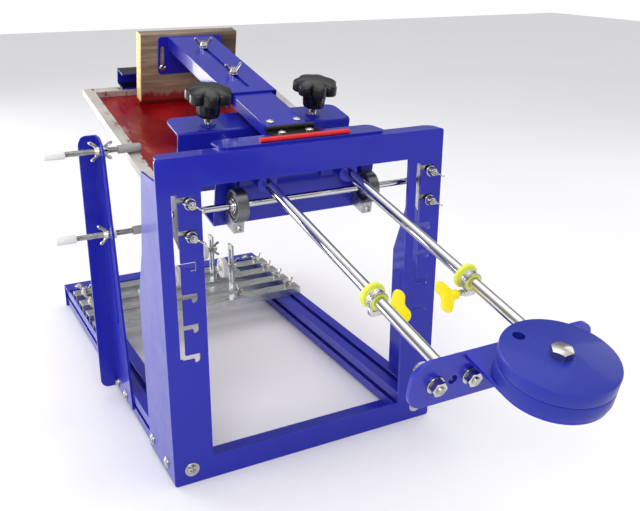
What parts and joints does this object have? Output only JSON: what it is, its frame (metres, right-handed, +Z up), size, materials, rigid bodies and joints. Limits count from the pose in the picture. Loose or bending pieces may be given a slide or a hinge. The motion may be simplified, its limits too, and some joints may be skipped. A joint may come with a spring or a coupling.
{
  "type": "cylinder screen printing press",
  "caption": "Manual screen press for cups and bottles: portal frame, tilting sliding screen carriage, hinged squeegee arm and roller cradle.",
  "frame": {"origin": "the middle of the portal's front edge, at table height", "axes": "+X to the operator's right, +Y away from the operator, +Z up"},
  "size_m": [0.4582, 1.1006, 0.5114],
  "materials": {
    "blue_paint": "gloss powder coat",
    "blue_aluminium": "gloss powder coat on extrusion",
    "chrome": "polished",
    "grey_steel": "satin",
    "zinc": "zinc plated",
    "aluminium": "bare mill finish",
    "black_steel": "black oxide",
    "black_plastic": "moulded",
    "red_rubber": "matt",
    "mesh_red": "inked mesh",
    "wood": "varnished",
    "blade_rubber": "polyurethane",
    "white_nylon": "smooth",
    "yellow_plastic": "smooth",
    "yellow_nylon": "smooth"
  },
  "bodies": {
    "portal_base": {"portal": "blue_paint", "hinge_plate": "blue_paint", "red_strip": "red_rubber", "base_rails": "blue_aluminium", "rear_angle": "blue_paint", "side_post": "blue_paint", "shaft_hangers": "grey_steel", "frame_wing_nuts": "zinc", "cross_shaft": "chrome", "frame_screws": "zinc", "hinge_fixed": "black_steel", "crossbars_spare": "zinc", "crossbar_bolts_spare": "zinc"},
    "stop_rod_up": {"stop_rod_upper": "zinc", "stop_tips_upper": "white_nylon"},
    "stop_rod_low": {"stop_rod_lower": "zinc", "stop_tips_lower": "white_nylon"},
    "pivot": {"pivot_beam": "blue_paint", "rod_sleeves": "blue_paint", "bearings": "grey_steel", "bearing_saddles": "grey_steel", "beam_screws": "zinc"},
    "carriage": {"guide_rods": "chrome", "screen_clamp": "blue_paint", "rod_supports": "grey_steel", "weight_bracket": "blue_paint", "bracket_bolts": "zinc", "counterweights": "blue_paint", "weight_bolt": "zinc", "screen_frame": "aluminium", "screen_mesh": "mesh_red", "pull_bar": "blue_paint"},
    "press": {"press_bar": "blue_paint"},
    "knob_l": {"knob_left": "black_plastic", "knob_stud_left": "zinc"},
    "knob_r": {"knob_right": "black_plastic", "knob_stud_right": "zinc"},
    "ring_l": {"stop_ring_left": "yellow_nylon", "stop_band_left": "zinc", "stop_key_left": "yellow_plastic"},
    "ring_r": {"stop_ring_right": "yellow_nylon", "stop_band_right": "zinc", "stop_key_right": "yellow_plastic"},
    "arm": {"hinge_leaf": "black_steel", "arm_inner": "blue_paint", "arm_fasteners": "zinc"},
    "reach": {"arm_outer": "blue_paint"},
    "squeegee": {"squeegee_board": "wood", "squeegee_blade": "blade_rubber", "squeegee_screws": "zinc"},
    "cradle_front": {"crossbar_front": "zinc", "crossbar_bolts_front": "zinc", "roller_posts_front": "zinc"},
    "cradle_rear": {"crossbar_rear": "zinc", "crossbar_bolts_rear": "zinc", "roller_posts_rear": "zinc"},
    "axle_front": {"roller_axles_front": "zinc"},
    "axle_rear": {"roller_axles_rear": "zinc"},
    "wheels_front": {"rollers_front": "white_nylon"},
    "wheels_rear": {"rollers_rear": "white_nylon"}
  },
  "joints": [
    {"name": "carriage_tilt", "type": "hinge", "parent": "portal_base", "child": "pivot", "pos_m": [0, 0.017, 0.3494], "axis": [1, 0, 0], "range_deg": [-12, 0]},
    {"name": "print_stroke", "type": "slide", "parent": "pivot", "child": "carriage", "axis": [0, 0.9781, 0.2079], "range_m": [0, 0.2]},
    {"name": "screen_press", "type": "slide", "parent": "carriage", "child": "press", "axis": [0, -0.2079, 0.9781], "range_m": [0, 0.01]},
    {"name": "knob_left_turn", "type": "hinge", "parent": "press", "child": "knob_l", "pos_m": [-0.075, 0.14477, 0.40347], "axis": [0, -0.2079, 0.9781], "range_deg": [0, 2400]},
    {"name": "knob_right_turn", "type": "hinge", "parent": "press", "child": "knob_r", "pos_m": [0.075, 0.14477, 0.40347], "axis": [0, -0.2079, 0.9781], "range_deg": [0, 2400]},
    {"name": "ring_left_slide", "type": "slide", "parent": "carriage", "child": "ring_l", "axis": [0, 0.9781, 0.2079], "range_m": [-0.08, 0.02]},
    {"name": "ring_right_slide", "type": "slide", "parent": "carriage", "child": "ring_r", "axis": [0, 0.9781, 0.2079], "range_m": [-0.08, 0.02]},
    {"name": "arm_lift", "type": "hinge", "parent": "portal_base", "child": "arm", "pos_m": [0, 0.058, 0.4255], "axis": [1, 0, 0], "range_deg": [0, 95]},
    {"name": "arm_reach", "type": "slide", "parent": "arm", "child": "reach", "axis": [0, 0.9781, 0.2079], "range_m": [0, 0.02]},
    {"name": "squeegee_height", "type": "slide", "parent": "reach", "child": "squeegee", "axis": [0, -0.2079, 0.9781], "range_m": [0, 0.028]},
    {"name": "cradle_front_slide", "type": "slide", "parent": "portal_base", "child": "cradle_front", "axis": [0, 1, 0], "range_m": [-0.05, 0.02]},
    {"name": "cradle_rear_slide", "type": "slide", "parent": "portal_base", "child": "cradle_rear", "axis": [0, 1, 0], "range_m": [-0.02, 0.02]},
    {"name": "axle_front_height", "type": "slide", "parent": "cradle_front", "child": "axle_front", "axis": [0, 0, 1], "range_m": [-0.015, 0.02]},
    {"name": "axle_rear_height", "type": "slide", "parent": "cradle_rear", "child": "axle_rear", "axis": [0, 0, 1], "range_m": [-0.015, 0.014]},
    {"name": "rollers_front_turn", "type": "hinge", "parent": "axle_front", "child": "wheels_front", "pos_m": [0, 0.4125, 0.11], "axis": [1, 0, 0], "continuous": true},
    {"name": "rollers_rear_turn", "type": "hinge", "parent": "axle_rear", "child": "wheels_rear", "pos_m": [0, 0.5085, 0.11], "axis": [1, 0, 0], "continuous": true},
    {"name": "stop_rod_upper_reach", "type": "slide", "parent": "portal_base", "child": "stop_rod_up", "axis": [1, 0, 0], "range_m": [-0.006, 0.01]},
    {"name": "stop_rod_lower_reach", "type": "slide", "parent": "portal_base", "child": "stop_rod_low", "axis": [1, 0, 0], "range_m": [-0.02, 0.02]}
  ],
  "couplings": [
    {"joint": "knob_left_turn", "follows": "screen_press", "rad_per_m": 4188.7},
    {"joint": "knob_right_turn", "follows": "screen_press", "rad_per_m": 4188.7}
  ]
}
